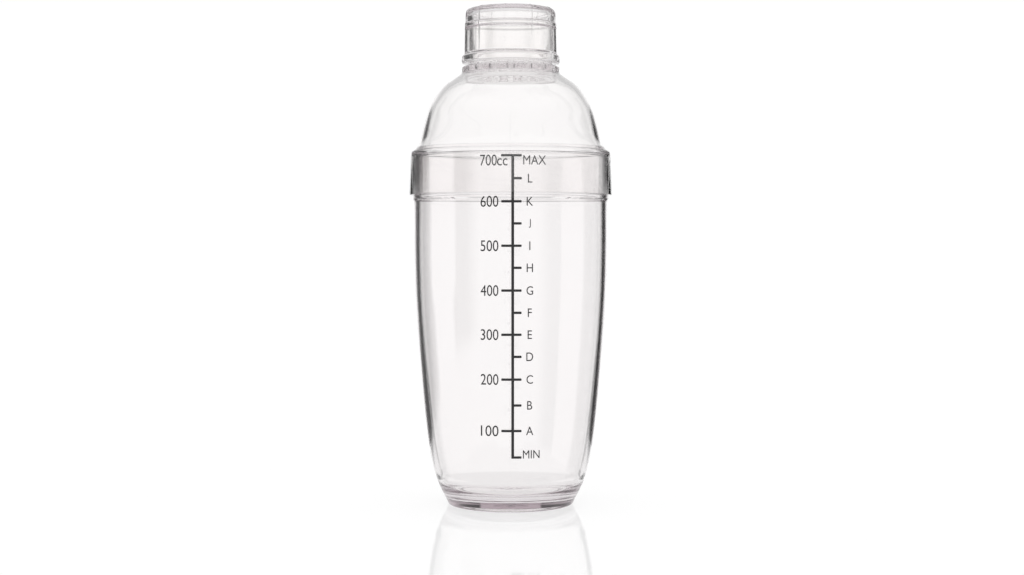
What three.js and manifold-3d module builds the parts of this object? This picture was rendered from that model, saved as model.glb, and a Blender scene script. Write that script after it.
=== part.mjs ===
// Clear plastic drink shaker with three push-together mouldings: a tapered measuring cup, a domed
// lid with a strainer plate and a neck, and a cap that slips over the neck.
// Millimetres, +Z up, origin in the middle of the foot's resting plane.
import * as THREE from 'three';
import { mergeVertices } from 'three/addons/utils/BufferGeometryUtils.js';
import Module from 'manifold-3d';

// Walls and the clearances of the two push fits
const WALL = 2.1;
const PUSH_FIT_CLEARANCE = 0.15; // radial, between a bore and what it slips over
const SEAT_CLEARANCE = 0.3; // axial, between faces that stop each other

// Cup
const CUP_HEIGHT = 156.5;
const CUP_RADIUS = 43.5;
const CUP_STRAIGHT_HEIGHT = 18.5; // straight wall between the taper and the stop bead
const CUP_RIM_DRAFT = 0.3; // the part under the lid's skirt leans in by this much
const FOOT_RADIUS = 28.7; // where the foot's corner meets the wall
const FOOT_CORNER_RADIUS = 1.8;
const FOOT_RING_WIDTH = 3; // flat ring that the cup stands on
const BASE_RECESS_DEPTH = 2.2;
const BASE_RECESS_FILLET = 2;
const FLOOR_HEIGHT = 5.2; // cup floor at its edge
const FLOOR_EDGE_INSET = 7.2; // from the foot's outer radius to the flat floor's edge
const FLOOR_RISE = 1; // floor and recess bulge up by this much in the middle
const FLOOR_FILLET_HEIGHT = 8;
const GATE_DIMPLE_RADIUS = 4.8;
const GATE_DIMPLE_DEPTH = 0.5;
const STOP_BEAD_PROUD = 0.5; // small bead that the skirt's lower edge comes down to
const STOP_BEAD_HEIGHT = 2.4;

// Lid
const SKIRT_HEIGHT = 19.8; // from its lower edge to the top of its shoulder
const SKIRT_FLARE = 0.7; // lower edge wider than the shoulder, outside
const SKIRT_TOP_WALL = 1.55;
const SKIRT_CORNER_RADIUS = 1.5;
const SHOULDER_THICKNESS = 2.2;
const DOME_HEIGHT = 35; // from the shoulder to the lip
const LIP_PROUD = 3.5; // lip beyond the neck
const LIP_HEIGHT = 2.4;
const FLARE_HEIGHT = 2.6; // from the lip up to the straight neck
const NECK_RADIUS = 18.5;
const NECK_HEIGHT = 16.7; // straight part above the flare
const STRAINER_THICKNESS = 2.3;
const STRAINER_DROP = 0.9; // plate's upper face below the foot of the straight neck
const STRAINER_HOLE_RADIUS = 1.9;
const STRAINER_RIM = 2.9; // plate left between the outer holes and the neck's bore
const STRAINER_RINGS = 2; // rings of holes around the middle one
const STRAINER_RING_STEP = 6; // each ring has this many holes more than the one inside it

// Cap
const CAP_WALL = 2.25; // just above the flange
const CAP_DRAFT = 0.25; // the wall leans in by this much up to the crown
const CROWN_STEP = 0.35; // crown narrower than the wall below it
const CROWN_HEIGHT = 7.2; // from the neck's rim to the top's outer edge
const CROWN_CORNER_RADIUS = 3.1;
const CROWN_THICKNESS = 2;
const CROWN_RISE = 0.4; // top bulges by this much
const CROWN_LEDGE = 0.8; // bore narrower than the neck by this much, so the neck's rim stops the cap
const FLANGE_PROUD = 1.2;
const FLANGE_HEIGHT = 3.7;
const CAP_MOUTH_CHAMFER = 0.8; // it clears the flare below the straight neck
const RIB_COUNT = 10;
const RIB_WIDTH = 0.9;
const RIB_PROUD = 0.35;
const RIB_PHASE = -97.7; // degrees from +X to the first rib
const RIB_FOOT_BELOW_CROWN = 7; // ribs end this far below the neck's rim
const RIB_ROOT = 0.8; // how far a rib is sunk into the wall

// Smoothness of the turned and bored surfaces
const TURN_SEGMENTS = 36;
const ARC_STEPS = 3;
const CURVE_STEPS = 12;
const HOLE_SEGMENTS = 12;

// Outline of the cup's taper and of the dome, as shares of their height and of their change in
// radius: each pair is [share of the height, share of the radius change].
const TAPER_STATIONS = [
  [0.014, 0], [0.082, 0.27], [0.175, 0.48], [0.312, 0.642],
  [0.496, 0.784], [0.68, 0.905], [0.863, 0.98], [1, 1],
];
const DOME_STATIONS = [
  [0, 0], [0.1, 0.105], [0.23, 0.165], [0.4, 0.235],
  [0.59, 0.345], [0.72, 0.475], [0.845, 0.655], [0.945, 0.88], [1, 1],
];

// Heights and radii that the dimensions above lead to
const SHOULDER_Z = CUP_HEIGHT + SEAT_CLEARANCE + SHOULDER_THICKNESS;
const SKIRT_FOOT_Z = SHOULDER_Z - SKIRT_HEIGHT;
const BEAD_TOP_Z = SKIRT_FOOT_Z - SEAT_CLEARANCE;
const BEAD_FOOT_Z = BEAD_TOP_Z - STOP_BEAD_HEIGHT;
const TAPER_TOP_Z = BEAD_FOOT_Z - CUP_STRAIGHT_HEIGHT;
const LIP_Z = SHOULDER_Z + DOME_HEIGHT;
const FLARE_Z = LIP_Z + LIP_HEIGHT;
const NECK_FOOT_Z = FLARE_Z + FLARE_HEIGHT;
const NECK_RIM_Z = NECK_FOOT_Z + NECK_HEIGHT;
const STRAINER_TOP_Z = NECK_FOOT_Z - STRAINER_DROP;
const CAP_FOOT_Z = NECK_FOOT_Z - CAP_MOUTH_CHAMFER;
const CROWN_FOOT_Z = NECK_RIM_Z + SEAT_CLEARANCE;
const CROWN_TOP_Z = NECK_RIM_Z + CROWN_HEIGHT;
const FLOOR_RADIUS = FOOT_RADIUS - FLOOR_EDGE_INSET;
const RIM_RADIUS = CUP_RADIUS - CUP_RIM_DRAFT;
const LIP_RADIUS = NECK_RADIUS + LIP_PROUD;
const NECK_BORE_RADIUS = NECK_RADIUS - WALL;
const CAP_BORE_RADIUS = NECK_RADIUS + PUSH_FIT_CLEARANCE;
const CAP_WALL_RADIUS = CAP_BORE_RADIUS + CAP_WALL;
const CROWN_BORE_RADIUS = NECK_RADIUS - CROWN_LEDGE;
const FLANGE_RADIUS = CAP_WALL_RADIUS + FLANGE_PROUD;

const wasm = await Module();
wasm.setup();

// Points of a profile are Vector2(radius, height).
function point(radius, height) {
  return new THREE.Vector2(radius, height);
}

// Quarter-like bend from one point to another, tangent to the lines that meet in the corner point.
function bend(from, corner, to, steps = ARC_STEPS) {
  return new THREE.QuadraticBezierCurve(from, corner, to).getPoints(steps);
}

// Smooth curve through stations given as shares of a height and of a change in radius.
function stationCurve(stations, lowRadius, highRadius, lowHeight, highHeight) {
  const points = stations.map(([heightShare, radiusShare]) => point(
    THREE.MathUtils.lerp(lowRadius, highRadius, radiusShare),
    THREE.MathUtils.lerp(lowHeight, highHeight, heightShare),
  ));
  return new THREE.SplineCurve(points);
}

// The same curve moved to the inside of a wall of even thickness.
function wallInside(curve, steps) {
  return curve.getSpacedPoints(steps).map((place, index) => {
    const along = curve.getTangentAt(index / steps);
    return point(place.x - along.y * WALL, place.y + along.x * WALL);
  });
}

// Solid of revolution about +Z from a closed profile that runs up the outside first.
function turned(profile) {
  const solid = new THREE.LatheGeometry(profile, TURN_SEGMENTS);
  solid.rotateX(Math.PI / 2);
  return solid;
}

function toManifold(geometry) {
  const bare = geometry.clone();
  bare.deleteAttribute('normal');
  bare.deleteAttribute('uv');
  const welded = mergeVertices(bare);
  return new wasm.Manifold(new wasm.Mesh({
    numProp: 3,
    vertProperties: new Float32Array(welded.attributes.position.array),
    triVerts: new Uint32Array(welded.index.array),
  }));
}

function toGeometry(manifold) {
  const mesh = manifold.getMesh();
  const geometry = new THREE.BufferGeometry();
  geometry.setAttribute('position', new THREE.BufferAttribute(mesh.vertProperties, mesh.numProp));
  geometry.setIndex(new THREE.BufferAttribute(mesh.triVerts, 1));
  geometry.computeVertexNormals();
  return geometry;
}

function clearPlastic(colour) {
  return new THREE.MeshStandardMaterial({ color: colour, roughness: 0.06, metalness: 0 });
}

// Cup: recessed base with a gate dimple, foot ring, tapered wall, stop bead, rim and floor.
function cupGeometry() {
  const footOuter = FOOT_RADIUS - FOOT_CORNER_RADIUS;
  const footInner = footOuter - FOOT_RING_WIDTH;
  const recessEdge = footInner - BASE_RECESS_FILLET;
  const recessTop = BASE_RECESS_DEPTH + FLOOR_RISE;
  const dimpleTop = recessTop + GATE_DIMPLE_DEPTH;
  const taper = stationCurve(TAPER_STATIONS, FOOT_RADIUS, CUP_RADIUS, 0, TAPER_TOP_Z);
  const taperFoot = taper.getPoint(0);
  const inside = wallInside(taper, CURVE_STEPS).filter(
    (place) => place.y > FLOOR_HEIGHT + FLOOR_FILLET_HEIGHT,
  );
  const filletTop = inside[0];
  const rimMiddle = RIM_RADIUS - WALL / 2;
  return turned([
    point(0, dimpleTop),
    point(GATE_DIMPLE_RADIUS - GATE_DIMPLE_DEPTH, dimpleTop),
    point(GATE_DIMPLE_RADIUS, recessTop),
    ...bend(
      point(recessEdge, BASE_RECESS_DEPTH),
      point(footInner, BASE_RECESS_DEPTH),
      point(footInner, 0),
    ),
    ...bend(
      point(footOuter, 0),
      point(FOOT_RADIUS - FOOT_CORNER_RADIUS / 4, 0),
      taperFoot,
    ),
    ...taper.getSpacedPoints(CURVE_STEPS).slice(1),
    point(CUP_RADIUS, BEAD_FOOT_Z),
    point(CUP_RADIUS + STOP_BEAD_PROUD, BEAD_FOOT_Z + STOP_BEAD_PROUD * 2),
    point(CUP_RADIUS + STOP_BEAD_PROUD, BEAD_TOP_Z - STOP_BEAD_PROUD / 2),
    point(CUP_RADIUS, BEAD_TOP_Z),
    ...bend(
      point(RIM_RADIUS, CUP_HEIGHT - WALL / 2),
      point(RIM_RADIUS, CUP_HEIGHT),
      point(rimMiddle, CUP_HEIGHT),
    ),
    ...bend(
      point(rimMiddle, CUP_HEIGHT),
      point(RIM_RADIUS - WALL, CUP_HEIGHT),
      point(RIM_RADIUS - WALL, CUP_HEIGHT - WALL / 2),
    ).slice(1),
    ...inside.reverse(),
    ...bend(
      filletTop,
      point((filletTop.x + FOOT_RADIUS) / 2, FLOOR_HEIGHT),
      point(FLOOR_RADIUS, FLOOR_HEIGHT),
      ARC_STEPS * 2,
    ).slice(1),
    point(FLOOR_RADIUS * 0.6, FLOOR_HEIGHT + FLOOR_RISE * 0.64),
    point(FLOOR_RADIUS * 0.3, FLOOR_HEIGHT + FLOOR_RISE * 0.91),
    point(0, FLOOR_HEIGHT + FLOOR_RISE),
  ]);
}

function strainerHoles() {
  const drill = new THREE.CylinderGeometry(
    STRAINER_HOLE_RADIUS, STRAINER_HOLE_RADIUS, STRAINER_THICKNESS * 2, HOLE_SEGMENTS,
  );
  drill.rotateX(Math.PI / 2);
  drill.translate(0, 0, STRAINER_TOP_Z - STRAINER_THICKNESS / 2);
  const solid = toManifold(drill);
  const outerRingRadius = NECK_BORE_RADIUS - STRAINER_RIM - STRAINER_HOLE_RADIUS;
  const holes = [solid];
  for (let ring = 1; ring <= STRAINER_RINGS; ring += 1) {
    const ringRadius = (outerRingRadius * ring) / STRAINER_RINGS;
    const count = STRAINER_RING_STEP * ring;
    for (let index = 0; index < count; index += 1) {
      const angle = (index / count) * 2 * Math.PI;
      holes.push(solid.translate([ringRadius * Math.cos(angle), ringRadius * Math.sin(angle), 0]));
    }
  }
  return holes;
}

// Lid: skirt, shoulder, dome, lip, flared neck, and the strainer plate across the neck.
function lidGeometry() {
  const boreRadius = RIM_RADIUS + PUSH_FIT_CLEARANCE;
  const boreFootRadius = CUP_RADIUS + PUSH_FIT_CLEARANCE;
  const shoulderRadius = boreRadius + SKIRT_TOP_WALL;
  const domeFootRadius = shoulderRadius - SKIRT_CORNER_RADIUS;
  const skirtUnderside = SHOULDER_Z - SHOULDER_THICKNESS;
  const dome = stationCurve(DOME_STATIONS, domeFootRadius, LIP_RADIUS, SHOULDER_Z, LIP_Z);
  const strainerFootZ = STRAINER_TOP_Z - STRAINER_THICKNESS;
  const inside = wallInside(dome, CURVE_STEPS).filter(
    (place) => place.x > NECK_BORE_RADIUS && place.y > SHOULDER_Z,
  );
  const body = turned([
    point(0, strainerFootZ),
    point(NECK_BORE_RADIUS, strainerFootZ),
    ...inside.reverse(),
    point(RIM_RADIUS - WALL, skirtUnderside),
    point(boreRadius, skirtUnderside),
    point(boreFootRadius, SKIRT_FOOT_Z),
    point(shoulderRadius + SKIRT_FLARE, SKIRT_FOOT_Z),
    ...bend(
      point(shoulderRadius, SHOULDER_Z - SKIRT_CORNER_RADIUS),
      point(shoulderRadius, SHOULDER_Z),
      point(domeFootRadius, SHOULDER_Z),
    ),
    ...dome.getSpacedPoints(CURVE_STEPS).slice(1),
    point(LIP_RADIUS, FLARE_Z),
    ...bend(
      point(LIP_RADIUS - FLARE_HEIGHT / 8, FLARE_Z + FLARE_HEIGHT / 8),
      point(NECK_RADIUS, FLARE_Z + FLARE_HEIGHT / 4),
      point(NECK_RADIUS, NECK_FOOT_Z),
    ),
    ...bend(
      point(NECK_RADIUS, NECK_RIM_Z - WALL / 2),
      point(NECK_RADIUS, NECK_RIM_Z),
      point(NECK_RADIUS - WALL / 2, NECK_RIM_Z),
    ),
    ...bend(
      point(NECK_RADIUS - WALL / 2, NECK_RIM_Z),
      point(NECK_BORE_RADIUS, NECK_RIM_Z),
      point(NECK_BORE_RADIUS, NECK_RIM_Z - WALL / 2),
    ).slice(1),
    point(NECK_BORE_RADIUS, STRAINER_TOP_Z),
    point(0, STRAINER_TOP_Z),
  ]);
  return toGeometry(strainerHoles().reduce((solid, hole) => solid.subtract(hole), toManifold(body)));
}

// Outline of the cap's crown from the foot of the wall's step to the top's edge, moved outwards.
function crownOutline(outwards) {
  const radius = CAP_WALL_RADIUS - CAP_DRAFT - CROWN_STEP + outwards;
  const top = CROWN_TOP_Z + outwards;
  const corner = CROWN_CORNER_RADIUS + outwards;
  return [
    point(radius, CROWN_FOOT_Z + CROWN_STEP),
    ...bend(point(radius, top - corner), point(radius, top), point(radius - corner, top)),
  ];
}

// One grip rib, drawn in the plane of radius and height and given its width.
function ribManifold(angle) {
  const foot = CROWN_FOOT_Z - RIB_FOOT_BELOW_CROWN;
  const crown = crownOutline(RIB_PROUD);
  const wallFace = CAP_WALL_RADIUS - CAP_DRAFT + RIB_PROUD;
  const inner = crownOutline(-RIB_ROOT).reverse();
  const outline = [
    point(wallFace - RIB_PROUD - RIB_ROOT, foot),
    point(wallFace - RIB_PROUD, foot),
    point(wallFace, foot + RIB_PROUD * 2),
    point(wallFace, CROWN_FOOT_Z),
    ...crown,
    ...inner,
  ];
  const rib = new THREE.ExtrudeGeometry(new THREE.Shape(outline), {
    depth: RIB_WIDTH,
    bevelEnabled: false,
  });
  rib.translate(0, 0, -RIB_WIDTH / 2);
  rib.rotateX(Math.PI / 2);
  rib.rotateZ(angle);
  return toManifold(rib);
}

// Cap: flange, drafted wall, stepped crown, and the bore whose ledge rests on the neck's rim.
function capGeometry() {
  const flangeTop = CAP_FOOT_Z + FLANGE_HEIGHT;
  const flangeRound = FLANGE_HEIGHT / 3;
  const ceiling = CROWN_TOP_Z - CROWN_THICKNESS;
  const innerCorner = CROWN_CORNER_RADIUS - CROWN_THICKNESS / 2;
  const body = toManifold(turned([
    point(0, ceiling),
    ...bend(
      point(CROWN_BORE_RADIUS - innerCorner, ceiling),
      point(CROWN_BORE_RADIUS, ceiling),
      point(CROWN_BORE_RADIUS, ceiling - innerCorner),
    ),
    point(CROWN_BORE_RADIUS, CROWN_FOOT_Z),
    point(CAP_BORE_RADIUS, CROWN_FOOT_Z),
    point(CAP_BORE_RADIUS, CAP_FOOT_Z + CAP_MOUTH_CHAMFER),
    point(CAP_BORE_RADIUS + CAP_MOUTH_CHAMFER, CAP_FOOT_Z),
    ...bend(
      point(FLANGE_RADIUS - flangeRound, CAP_FOOT_Z),
      point(FLANGE_RADIUS, CAP_FOOT_Z),
      point(FLANGE_RADIUS, CAP_FOOT_Z + flangeRound),
    ),
    ...bend(
      point(FLANGE_RADIUS, flangeTop - flangeRound),
      point(FLANGE_RADIUS, flangeTop),
      point(CAP_WALL_RADIUS, flangeTop),
    ),
    point(CAP_WALL_RADIUS - CAP_DRAFT, CROWN_FOOT_Z),
    ...crownOutline(0),
    point(CROWN_BORE_RADIUS / 2, CROWN_TOP_Z + CROWN_RISE * 0.75),
    point(0, CROWN_TOP_Z + CROWN_RISE),
  ]));
  let solid = body;
  for (let index = 0; index < RIB_COUNT; index += 1) {
    solid = solid.add(ribManifold(THREE.MathUtils.degToRad(RIB_PHASE + (index * 360) / RIB_COUNT)));
  }
  return toGeometry(solid);
}

function namedPiece(name, geometry, material) {
  const piece = new THREE.Mesh(geometry, material);
  piece.name = name;
  return piece;
}

const shaker = new THREE.Group();
shaker.add(namedPiece('cup', cupGeometry(), clearPlastic(0xf1edec)));
shaker.add(namedPiece('strainer_lid', lidGeometry(), clearPlastic(0xf5f1f0)));
shaker.add(namedPiece('cap', capGeometry(), clearPlastic(0xf3efee)));

export default shaker;
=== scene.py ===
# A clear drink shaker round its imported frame: turned cup, strainer lid and cap in clear plastic,
# with the capacity scale printed on the cup. Sizes are in millimetres until MM turns them to metres.
import math

import bmesh
import bpy
import numpy as np
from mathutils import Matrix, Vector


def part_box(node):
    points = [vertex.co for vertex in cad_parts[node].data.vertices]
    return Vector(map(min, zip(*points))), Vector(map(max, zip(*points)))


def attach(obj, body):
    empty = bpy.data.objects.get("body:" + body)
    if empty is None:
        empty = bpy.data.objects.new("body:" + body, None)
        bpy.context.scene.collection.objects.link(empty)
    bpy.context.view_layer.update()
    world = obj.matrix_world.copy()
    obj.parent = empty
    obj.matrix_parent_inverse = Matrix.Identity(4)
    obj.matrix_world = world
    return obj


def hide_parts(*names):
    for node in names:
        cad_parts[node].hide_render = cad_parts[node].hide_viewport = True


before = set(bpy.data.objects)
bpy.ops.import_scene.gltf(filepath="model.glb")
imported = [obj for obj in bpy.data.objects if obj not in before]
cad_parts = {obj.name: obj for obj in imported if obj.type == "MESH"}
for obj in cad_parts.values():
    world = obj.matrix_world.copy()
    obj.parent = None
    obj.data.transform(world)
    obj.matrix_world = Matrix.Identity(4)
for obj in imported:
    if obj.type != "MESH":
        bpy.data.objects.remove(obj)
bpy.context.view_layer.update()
MM = 0.001

# ---------------------------------------------------------------- sizes taken from the frame
_, cup_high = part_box("cup")
lid_low, lid_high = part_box("strainer_lid")
cap_low, cap_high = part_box("cap")
CUP_HEIGHT = cup_high[2] / MM
SKIRT_FOOT_Z = lid_low[2] / MM
SKIRT_FOOT_RADIUS = lid_high[0] / MM
NECK_RIM_Z = lid_high[2] / MM
CAP_FOOT_Z = cap_low[2] / MM
CAP_TOP_Z = cap_high[2] / MM
FLANGE_RADIUS = cap_high[0] / MM

# ---------------------------------------------------------------- sizes of the mouldings
WALL = 2.1
PUSH_FIT = 0.15  # radial clearance of both push fits
SEAT_GAP = 0.3  # axial clearance where two mouldings stop each other
EDGE = 0.25  # rounding of the moulded edges

CUP_RADIUS = 43.5
RIM_RADIUS = 43.2
FOOT_RADIUS = 28.7
FOOT_CORNER = 1.8
FOOT_RING = 3.0
RING_LEAD = 0.5  # plain stretch before the ring's outer corner
RING_DRAFT = 0.3
RECESS_DEPTH = 2.2
RECESS_FILLET = 2.0
RECESS_CORNER = 0.4
RECESS_FALL = 0.3  # from the gate mark to half way out
FLOOR_Z = 5.2
FLOOR_RADIUS = 21.5
FLOOR_RISE = 1.0
FLOOR_FILLET = 8.0
FLOOR_STATIONS = (1, 0.6, 0.3, 0)  # shares of the floor's radius
# Fine moulding marks on the floor: radius, depth, width.
FLOOR_GROOVE = (24.2, 0.55, 0.9)
GATE_RING = (4.8, 0.2, 0.8)
GATE_PIT = (0.0, 0.4, 2.6)
GATE_DIMPLE = 4.8
GATE_DEPTH = 0.5
GATE_NUB = 1.2
GATE_NUB_DRAFT = 0.15
GATE_ROUND = 0.2
BEAD_PROUD = 0.5
BEAD_HEIGHT = 2.4
BEAD_LEAD = 1.0  # plain wall above and below the bead in its run of points
STRAIGHT_HEIGHT = 18.5
# Shares of the height and of the widening from the foot to the straight part.
TAPER = [(0.014, 0), (0.082, 0.27), (0.175, 0.48), (0.312, 0.642), (0.496, 0.784),
         (0.68, 0.905), (0.863, 0.98), (1, 1)]

SKIRT_TOP_WALL = 1.55
SKIRT_CORNER = 1.5
SHOULDER_THICKNESS = 2.2
DOME_HEIGHT = 35.0
LIP_RADIUS = 22.0
LIP_HEIGHT = 2.4
LIP_DRAFT = 0.6
LIP_ROUND = 0.5
FLARE_HEIGHT = 2.6
NECK_RADIUS = 18.5
NECK_WALL = 1.3
THROAT_CORNER = 1.5  # the dome's inside stops this far outside the neck's bore
STRAINER_THICKNESS = 2.3
STRAINER_DROP = 2.1
STRAINER_RIM = 2.9
HOLE_RADIUS = 1.9
STRAINER_RINGS = 2
# Shares of the height and of the narrowing from the shoulder to the lip.
DOME = [(0, 0), (0.1, 0.105), (0.23, 0.165), (0.4, 0.235), (0.59, 0.345), (0.72, 0.475),
        (0.845, 0.655), (0.945, 0.88), (1, 1)]

CAP_WALL_RADIUS = 20.9
CAP_DRAFT = 0.25
CROWN_STEP = 0.35
CROWN_RISE = 0.4
CROWN_CORNER = 3.1
CROWN_CURVE = 0.75  # share of the crown's rise that is reached half way in
CROWN_THICKNESS = 2.0
CROWN_BORE = 17.7
FLANGE_HEIGHT = 3.7
FLANGE_FILLET = 0.4
MOUTH_CHAMFER = 0.8
BORE_RELIEF = 1.0  # the bore is opened by this much between its two guide lands
BORE_LAND = 1.6
RIB_COUNT = 10
RIB_WIDTH = 0.9
RIB_PROUD = 0.14
RIB_FLAT = 0.1  # share of a rib's width that is fully raised
RIB_CROWDING = 0.8  # how far the wall's sections are drawn together at the ribs
RIB_ANGLE = -7.7  # degrees from the front to the nearest rib, to the right
RIB_FOOT_DROP = 7.0
RIB_MARGIN = 1.0  # keeps the ribs off the bore and the ceiling

SHOULDER_Z = CUP_HEIGHT + SEAT_GAP + SHOULDER_THICKNESS
BEAD_TOP_Z = SKIRT_FOOT_Z - SEAT_GAP
BEAD_FOOT_Z = BEAD_TOP_Z - BEAD_HEIGHT
TAPER_TOP_Z = BEAD_FOOT_Z - STRAIGHT_HEIGHT
LIP_Z = SHOULDER_Z + DOME_HEIGHT
FLARE_Z = LIP_Z + LIP_HEIGHT
NECK_FOOT_Z = FLARE_Z + FLARE_HEIGHT
STRAINER_TOP_Z = NECK_FOOT_Z - STRAINER_DROP
NECK_BORE = NECK_RADIUS - NECK_WALL
CROWN_FOOT_Z = NECK_RIM_Z + SEAT_GAP
CROWN_TOP_Z = CAP_TOP_Z - CROWN_RISE
SMOOTH_SECTIONS = 256
RIBBED_SECTIONS = 320
HOLE_SECTIONS = 24
WELD = 1e-6  # metres, where the edges of a turned wall or an ink skin meet
PLATE_WELD = 2e-6  # metres, where the strainer plate meets its wall and its holes


# ---------------------------------------------------------------- outlines of the turned walls
def smooth_curve(points, steps):
    """Natural cubic spline through points of (radius, height), evenly stepped along its chords."""
    points = np.array(points, float)
    at = np.concatenate([[0], np.cumsum(np.hypot(*np.diff(points, axis=0).T))])
    gap = np.diff(at)
    count = len(points)
    matrix = np.eye(count)
    right = np.zeros((count, 2))
    for i in range(1, count - 1):
        matrix[i, i - 1:i + 2] = gap[i - 1], 2 * (gap[i - 1] + gap[i]), gap[i]
        right[i] = 6 * ((points[i + 1] - points[i]) / gap[i] - (points[i] - points[i - 1]) / gap[i - 1])
    bend = np.linalg.solve(matrix, right)
    out = []
    for s in np.linspace(0, at[-1], steps + 1):
        i = min(int(np.searchsorted(at, s, side="right")) - 1, count - 2)
        a, b, h = at[i + 1] - s, s - at[i], gap[i]
        out.append((bend[i] * a ** 3 + bend[i + 1] * b ** 3) / (6 * h)
                   + (points[i] / h - bend[i] * h / 6) * a + (points[i + 1] / h - bend[i + 1] * h / 6) * b)
    return np.array(out)


def station_curve(stations, low_radius, high_radius, low_z, high_z, steps=90):
    """Smooth curve through stations of (share of the height, share of the change in radius)."""
    points = [(low_radius + (high_radius - low_radius) * share_r, low_z + (high_z - low_z) * share_z)
              for share_z, share_r in stations]
    return smooth_curve(points, steps)


def wall_inside(curve, wall=WALL):
    """The curve moved to the inside of a wall of even thickness; it runs upwards."""
    along = np.gradient(curve, axis=0)
    along /= np.hypot(*along.T)[:, None]
    return np.stack([curve[:, 0] - along[:, 1] * wall, curve[:, 1] + along[:, 0] * wall], axis=1)


def bend(start, corner, end, steps=8):
    """Round corner from start to end, tangent to the lines that meet in corner."""
    start, corner, end = (np.array(p, float) for p in (start, corner, end))
    share = np.linspace(0, 1, steps + 1)[:, None]
    return (1 - share) ** 2 * start + 2 * share * (1 - share) * corner + share ** 2 * end


def rounded(points, radius=EDGE, steps=5):
    """A run of straight lines whose inner corners are rounded; the ends stay as they are."""
    points = [np.array(p, float) for p in points]
    out = [points[0]]
    for before, here, after in zip(points, points[1:], points[2:]):
        back, ahead = before - here, after - here
        reach = min(radius, 0.45 * np.hypot(*back), 0.45 * np.hypot(*ahead))
        start = here + back / np.hypot(*back) * reach
        end = here + ahead / np.hypot(*ahead) * reach
        out.extend(bend(start, here, end, steps))
    return np.array(out + [points[-1]])


def joined(*runs):
    """One outline from several runs of points, without doubled points."""
    out = []
    for run in runs:
        for place in run:
            if not out or np.hypot(*(np.array(place) - out[-1])) > 1e-4:
                out.append(np.array(place, float))
    return np.array(out)


def grooved(curve, radius, depth, width):
    """The curve with a soft groove of this depth and width sunk into it."""
    share = np.clip(np.abs(curve[:, 0] - radius) / (width / 2), 0, 1)
    deep = depth * (1 + np.cos(math.pi * share)) / 2
    return np.stack([curve[:, 0], curve[:, 1] - deep], axis=1)


def cup_outline():
    """From the middle of the underside, out and up over the rim, and down to the middle of the floor."""
    ring_outer = FOOT_RADIUS - FOOT_CORNER
    ring_inner = ring_outer - FOOT_RING
    recess_edge = ring_inner - RECESS_FILLET
    recess_top = RECESS_DEPTH + FLOOR_RISE
    dimple_top = recess_top + GATE_DEPTH
    taper = station_curve(TAPER, FOOT_RADIUS, CUP_RADIUS, 0, TAPER_TOP_Z)
    inside = wall_inside(taper)
    inside = inside[inside[:, 1] > FLOOR_Z + FLOOR_FILLET]
    rim_middle = RIM_RADIUS - WALL / 2
    rim_inner = RIM_RADIUS - WALL
    ring_side = (ring_inner - RING_DRAFT, RECESS_FILLET / 2)
    floor = smooth_curve([(FLOOR_RADIUS * share, FLOOR_Z + FLOOR_RISE * (1 - share ** 2))
                          for share in FLOOR_STATIONS], steps=50)
    fillet = bend(inside[0], ((inside[0][0] + FOOT_RADIUS) / 2, FLOOR_Z), (FLOOR_RADIUS, FLOOR_Z), steps=38)
    gate = [(0, dimple_top - GATE_DEPTH), (GATE_NUB, dimple_top - GATE_DEPTH),
            (GATE_NUB + GATE_NUB_DRAFT, dimple_top), (GATE_DIMPLE - GATE_DEPTH, dimple_top),
            (GATE_DIMPLE, recess_top), (recess_edge / 2, recess_top - RECESS_FALL)]
    bead = [(CUP_RADIUS, BEAD_FOOT_Z - BEAD_LEAD), (CUP_RADIUS, BEAD_FOOT_Z),
            (CUP_RADIUS + BEAD_PROUD, BEAD_FOOT_Z + 2 * BEAD_PROUD),
            (CUP_RADIUS + BEAD_PROUD, BEAD_TOP_Z), (CUP_RADIUS, BEAD_TOP_Z),
            (CUP_RADIUS, BEAD_TOP_Z + BEAD_LEAD)]
    return joined(
        rounded(gate, GATE_ROUND),
        bend((recess_edge, RECESS_DEPTH), (ring_inner - RECESS_CORNER, RECESS_DEPTH), ring_side),
        rounded([ring_side, (ring_inner, 0), (ring_outer - RING_LEAD, 0)]),
        bend((ring_outer, 0), (FOOT_RADIUS - FOOT_CORNER / 4, 0), taper[0]),
        taper,
        rounded(bead),
        bend((RIM_RADIUS, CUP_HEIGHT - WALL / 2), (RIM_RADIUS, CUP_HEIGHT), (rim_middle, CUP_HEIGHT)),
        bend((rim_middle, CUP_HEIGHT), (rim_inner, CUP_HEIGHT), (rim_inner, CUP_HEIGHT - WALL / 2)),
        inside[::-1],
        grooved(fillet, *FLOOR_GROOVE),
        grooved(grooved(floor, *GATE_RING), *GATE_PIT),
    )


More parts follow.
